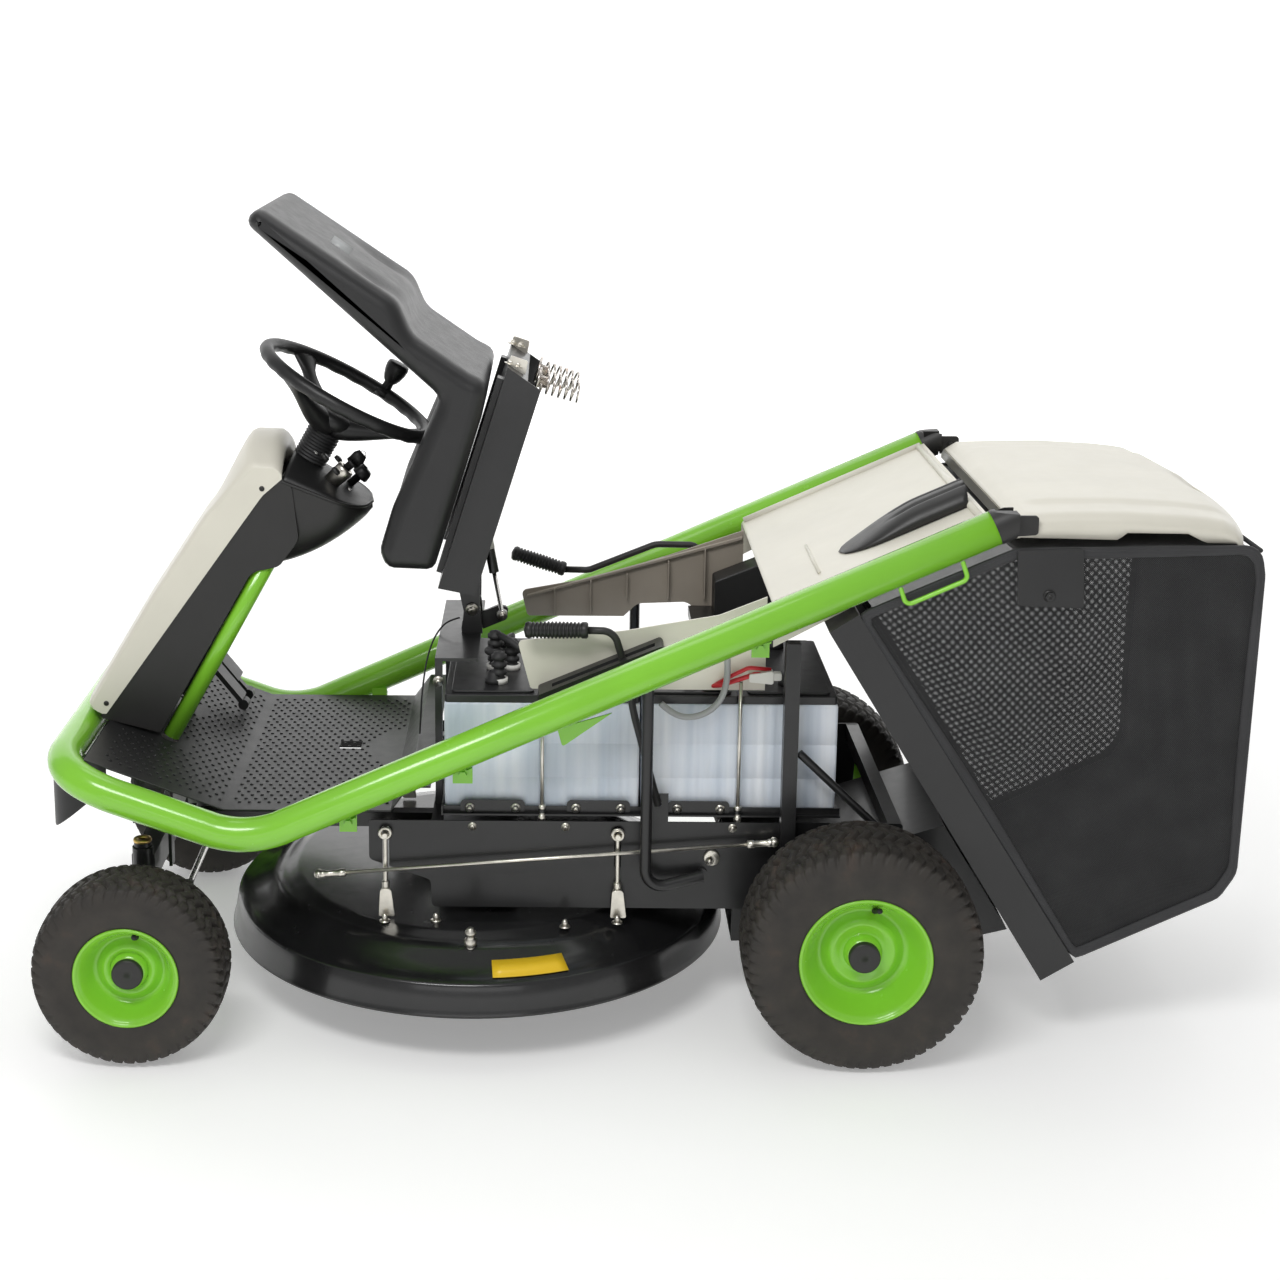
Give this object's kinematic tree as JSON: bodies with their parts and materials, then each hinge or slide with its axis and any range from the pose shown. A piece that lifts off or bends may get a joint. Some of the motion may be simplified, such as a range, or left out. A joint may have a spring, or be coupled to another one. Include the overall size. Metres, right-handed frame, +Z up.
{
  "type": "riding lawn mower",
  "caption": "Battery riding lawn mower with a tube frame, tip-up seat, liftable round cutting deck, steered front wheels and a tipping rear grass box.",
  "frame": {"origin": "on the ground, under the middle of the machine's length and width", "axes": "+X towards the front bumper, +Y to the driver's left, +Z up"},
  "size_m": [2.077, 0.937, 1.4214],
  "materials": {
    "frame_paint": "gloss",
    "rim_paint": "gloss",
    "black_paint": "satin",
    "cream_plastic": "gloss",
    "black_plastic": "satin",
    "deck_paint": "satin",
    "battery_plastic": "satin",
    "battery_lid_plastic": "satin",
    "tyre_rubber": "matte",
    "soft_rubber": "matte",
    "bright_steel": "satin",
    "bag_mesh": "matte",
    "seat_skin": "satin",
    "cast_alloy": "satin"
  },
  "bodies": {
    "chassis": {"frame_rails": "frame_paint", "frame_front_hoop": "frame_paint", "frame_end_caps": "black_plastic", "frame_lugs": "frame_paint", "column_stays": "frame_paint", "floor_pan": "black_paint", "front_bumper": "black_plastic", "column_cover": "cream_plastic", "column_shroud": "black_plastic", "dash_panel": "black_plastic", "steering_boot": "soft_rubber", "wheel_motors": "cast_alloy", "chassis_plates": "black_paint", "battery_tray": "black_paint", "battery_cases": "battery_plastic", "battery_lids": "battery_lid_plastic", "battery_terminals": "soft_rubber", "support_posts": "black_paint", "controller_box": "black_plastic", "side_panel_left": "cream_plastic", "side_panel_right": "cream_plastic", "lever_guide": "black_plastic", "rear_cover": "cream_plastic", "cover_pod": "cream_plastic", "discharge_chute": "black_paint", "seat_bracket": "black_paint", "seat_switch_cable": "soft_rubber", "vent_hose": "soft_rubber"},
    "front_axle": {"front_axle_beam": "black_paint"},
    "steering_knuckle_left": {"knuckle_left": "black_paint"},
    "steering_knuckle_right": {"knuckle_right": "black_paint"},
    "track_rod": {"tie_rod": "black_paint"},
    "steering": {"steering_wheel": "black_plastic"},
    "ignition_key": {"key_switch": "bright_steel"},
    "speed_control": {"speed_knob": "black_plastic"},
    "deck": {"deck_shell": "deck_paint", "blade_motor": "cast_alloy", "deck_hangers": "black_paint"},
    "blade": {"cutting_blade": "bright_steel"},
    "lift_link": {"lift_link_rod": "bright_steel"},
    "height_control": {"height_lever": "black_paint"},
    "tip_control": {"tip_lever": "black_paint"},
    "forward_control": {"pedal_forward": "black_paint"},
    "reverse_control": {"pedal_reverse": "black_paint"},
    "seat_carrier": {"seat_pan": "black_paint", "seat_springs": "bright_steel"},
    "seat": {"seat_shell": "seat_skin"},
    "strut_lower": {"strut_rod": "bright_steel"},
    "strut_upper": {"strut_cylinder": "bright_steel"},
    "grass_box": {"box_frame": "black_paint", "box_bag": "bag_mesh", "box_lid": "cream_plastic"},
    "wheel_rear_left": {"tyre_rear_left": "tyre_rubber", "rim_rear_left": "rim_paint"},
    "wheel_rear_right": {"tyre_rear_right": "tyre_rubber", "rim_rear_right": "rim_paint"},
    "wheel_front_left": {"tyre_front_left": "tyre_rubber", "rim_front_left": "rim_paint"},
    "wheel_front_right": {"tyre_front_right": "tyre_rubber", "rim_front_right": "rim_paint"}
  },
  "joints": [
    {"name": "front_axle_rock", "type": "hinge", "parent": "chassis", "child": "front_axle", "pos_m": [0.85347, 0, 0.287], "axis": [1, 0, 0], "range_deg": [-4, 4]},
    {"name": "steering_turn", "type": "hinge", "parent": "chassis", "child": "steering", "pos_m": [0.51647, 0, 1.082], "axis": [-0.4848, 0, 0.8746], "range_deg": [-75, 75]},
    {"name": "knuckle_left_turn", "type": "hinge", "parent": "front_axle", "child": "steering_knuckle_left", "pos_m": [0.85347, 0.285, 0.165], "axis": [0, 0, 1], "range_deg": [-25, 25]},
    {"name": "knuckle_right_turn", "type": "hinge", "parent": "front_axle", "child": "steering_knuckle_right", "pos_m": [0.85347, -0.285, 0.165], "axis": [0, 0, 1], "range_deg": [-25, 25]},
    {"name": "track_rod_shift", "type": "slide", "parent": "front_axle", "child": "track_rod", "axis": [0, 1, 0], "range_m": [-0.034, 0.034]},
    {"name": "wheel_rear_left_spin", "type": "hinge", "parent": "chassis", "child": "wheel_rear_left", "pos_m": [-0.37953, 0.387, 0.203], "axis": [0, 1, 0], "continuous": true},
    {"name": "wheel_rear_right_spin", "type": "hinge", "parent": "chassis", "child": "wheel_rear_right", "pos_m": [-0.37953, -0.387, 0.203], "axis": [0, 1, 0], "continuous": true},
    {"name": "wheel_front_left_spin", "type": "hinge", "parent": "steering_knuckle_left", "child": "wheel_front_left", "pos_m": [0.85347, 0.405, 0.165], "axis": [0, 1, 0], "continuous": true},
    {"name": "wheel_front_right_spin", "type": "hinge", "parent": "steering_knuckle_right", "child": "wheel_front_right", "pos_m": [0.85347, -0.405, 0.165], "axis": [0, 1, 0], "continuous": true},
    {"name": "height_lever_swing", "type": "hinge", "parent": "chassis", "child": "height_control", "pos_m": [-0.03953, 0.264, 0.406], "axis": [0, 1, 0], "range_deg": [0, 20]},
    {"name": "deck_lift", "type": "slide", "parent": "chassis", "child": "deck", "axis": [0, 0, 1], "range_m": [-0.055, 0]},
    {"name": "lift_rod_shift", "type": "slide", "parent": "chassis", "child": "lift_link", "axis": [1, 0, 0], "range_m": [0, 0.0454]},
    {"name": "blade_spin", "type": "hinge", "parent": "deck", "child": "blade", "pos_m": [0.28247, 0, 0.125], "axis": [0, 0, 1], "continuous": true},
    {"name": "seat_tip", "type": "hinge", "parent": "chassis", "child": "seat_carrier", "pos_m": [0.29147, 0, 0.69], "axis": [0, 1, 0], "range_deg": [-72, 0]},
    {"name": "seat_slide", "type": "slide", "parent": "seat_carrier", "child": "seat", "axis": [-0.297, 0, 0.9549], "range_m": [0, 0.06]},
    {"name": "strut_swing", "type": "hinge", "parent": "chassis", "child": "strut_lower", "pos_m": [0.23747, 0.014, 0.672], "axis": [0, 1, 0], "range_deg": [-74, 0]},
    {"name": "strut_slide", "type": "slide", "parent": "strut_lower", "child": "strut_upper", "axis": [0.1823, 0, 0.9832], "range_m": [-0.069, 0]},
    {"name": "box_tip", "type": "hinge", "parent": "chassis", "child": "grass_box", "pos_m": [-0.63453, 0, 0.925], "axis": [0, 1, 0], "range_deg": [0, 75]},
    {"name": "tip_lever_swing", "type": "hinge", "parent": "chassis", "child": "tip_control", "pos_m": [-0.16453, -0.264, 0.7], "axis": [0, 1, 0], "range_deg": [-60, 0]},
    {"name": "forward_pedal_press", "type": "hinge", "parent": "chassis", "child": "forward_control", "pos_m": [0.73847, -0.208, 0.446], "axis": [0, 1, 0], "range_deg": [0, 18], "stiffness_Nm_per_rad": 8, "springref_deg": -11.46},
    {"name": "reverse_pedal_press", "type": "hinge", "parent": "chassis", "child": "reverse_control", "pos_m": [0.73847, -0.145, 0.446], "axis": [0, 1, 0], "range_deg": [0, 18], "stiffness_Nm_per_rad": 8, "springref_deg": -11.46},
    {"name": "key_turn", "type": "hinge", "parent": "chassis", "child": "ignition_key", "pos_m": [0.52547, 0.038, 0.939], "axis": [-0.7479, 0, 0.6639], "range_deg": [0, 60]},
    {"name": "speed_knob_turn", "type": "hinge", "parent": "chassis", "child": "speed_control", "pos_m": [0.50447, -0.034, 0.915], "axis": [-0.7479, 0, 0.6639], "range_deg": [-135, 135]}
  ],
  "couplings": [
    {"joint": "knuckle_left_turn", "follows": "steering_turn", "ratio": 0.33},
    {"joint": "knuckle_right_turn", "follows": "steering_turn", "ratio": 0.33},
    {"joint": "track_rod_shift", "follows": "steering_turn", "m_per_rad": -0.0242},
    {"joint": "height_lever_swing", "follows": "deck_lift", "rad_per_m": -6.347},
    {"joint": "lift_rod_shift", "follows": "deck_lift", "ratio": -0.8},
    {"joint": "strut_swing", "follows": "seat_tip", "ratio": 1.006},
    {"joint": "strut_slide", "follows": "seat_tip", "m_per_rad": 0.054},
    {"joint": "tip_lever_swing", "follows": "box_tip", "ratio": -0.8}
  ]
}
